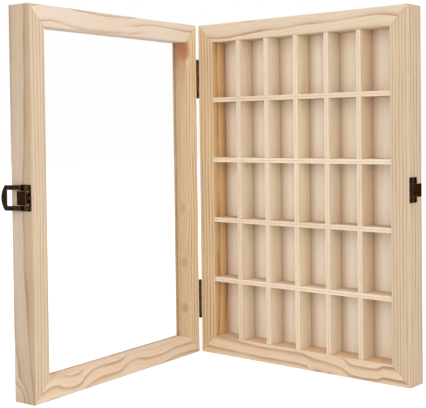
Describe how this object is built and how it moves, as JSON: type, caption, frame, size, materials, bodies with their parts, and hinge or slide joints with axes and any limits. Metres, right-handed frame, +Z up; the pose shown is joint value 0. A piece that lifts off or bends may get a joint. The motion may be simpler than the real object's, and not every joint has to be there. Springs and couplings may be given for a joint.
{
  "type": "film display case",
  "caption": "Pine display case for film rolls: a shallow frame divided into pockets, with a hinged clear door and a toggle latch.",
  "frame": {"origin": "middle of the case's underside", "axes": "+X from the hinge side to the latch side, +Y from the case's front to its back, +Z up the case's height"},
  "size_m": [0.3212, 0.3254, 0.4],
  "materials": {
    "pine": "planed and sanded, unfinished",
    "plywood": "thin three-layer ply, unfinished",
    "back_board": "thin board, unfinished",
    "clear_pane": "clear, polished",
    "dark_bronze": "dark bronze plating, satin",
    "brad_steel": "bright wire"
  },
  "bodies": {
    "case": {"case_left_board": "pine", "case_right_board": "pine", "case_top_board": "pine", "case_bottom_board": "pine", "back_panel": "back_board", "back_panel_brads": "brad_steel", "shelf_1": "plywood", "shelf_2": "plywood", "shelf_3": "plywood", "shelf_4": "plywood", "divider_1": "plywood", "divider_2": "plywood", "divider_3": "plywood", "divider_4": "plywood", "divider_5": "plywood", "upper_hinge_case_leaf": "dark_bronze", "lower_hinge_case_leaf": "dark_bronze", "upper_hinge_pin": "dark_bronze", "lower_hinge_pin": "dark_bronze", "hinge_case_screws": "dark_bronze", "hook_plate": "dark_bronze", "hook_screws": "dark_bronze"},
    "door": {"door_hinge_stile": "pine", "door_free_stile": "pine", "door_top_rail": "pine", "door_bottom_rail": "pine", "clear_pane": "clear_pane", "upper_hinge_door_leaf": "dark_bronze", "lower_hinge_door_leaf": "dark_bronze", "hinge_door_screws": "dark_bronze", "latch_base": "dark_bronze", "latch_screws": "dark_bronze", "lever_pin": "dark_bronze"},
    "latch_lever": {"latch_lever": "dark_bronze"},
    "bail_pin": {"bail_pin": "dark_bronze"},
    "bail": {"bail": "dark_bronze"}
  },
  "joints": [
    {"name": "door_hinge", "type": "hinge", "parent": "case", "child": "door", "pos_m": [-0.1437, -0.0144, 0.2], "axis": [0, 0, -1], "range_deg": [-85, 95]},
    {"name": "lever_pivot", "type": "hinge", "parent": "door", "child": "latch_lever", "pos_m": [-0.12113, -0.30223, 0.207], "axis": [0, 0, 1], "range_deg": [0, 120]},
    {"name": "bail_pin_turn", "type": "hinge", "parent": "latch_lever", "child": "bail_pin", "pos_m": [-0.13173, -0.30265, 0.207], "axis": [0, 0, 1], "range_deg": [-120, 0]},
    {"name": "bail_pivot", "type": "hinge", "parent": "bail_pin", "child": "bail", "pos_m": [-0.13173, -0.30265, 0.207], "axis": [0, 0, -1], "range_deg": [-163, 17]}
  ],
  "couplings": [
    {"joint": "bail_pin_turn", "follows": "lever_pivot", "ratio": -1}
  ]
}
